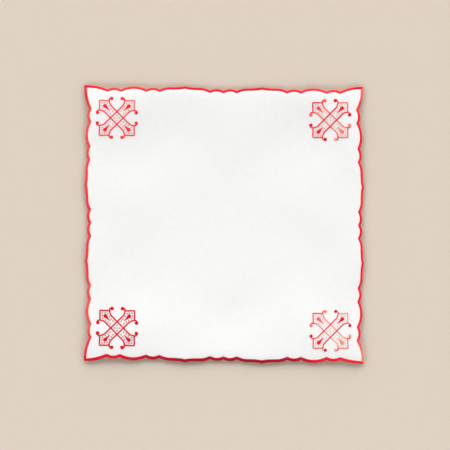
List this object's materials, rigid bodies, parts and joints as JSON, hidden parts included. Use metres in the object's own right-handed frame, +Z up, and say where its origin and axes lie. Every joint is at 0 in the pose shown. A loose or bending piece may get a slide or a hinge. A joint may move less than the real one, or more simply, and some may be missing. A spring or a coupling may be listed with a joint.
{
  "type": "embroidered napkin",
  "caption": "Square white cloth napkin lying flat, with a scalloped rim, red satin-stitched edging and a red embroidered ornament in every corner.",
  "frame": {"origin": "middle of the underside, on the surface that the napkin lies on", "axes": "+Z up out of the embroidered face, +X to the napkin's right, +Y to its far side"},
  "size_m": [0.3996, 0.3972, 0.0016],
  "materials": {
    "white_cloth": "white plain-woven cotton and linen, matt",
    "red_thread": "bright red embroidery thread with a soft silky sheen"
  },
  "bodies": {
    "root": {"cloth": "white_cloth", "edging": "red_thread"}
  },
  "joints": []
}
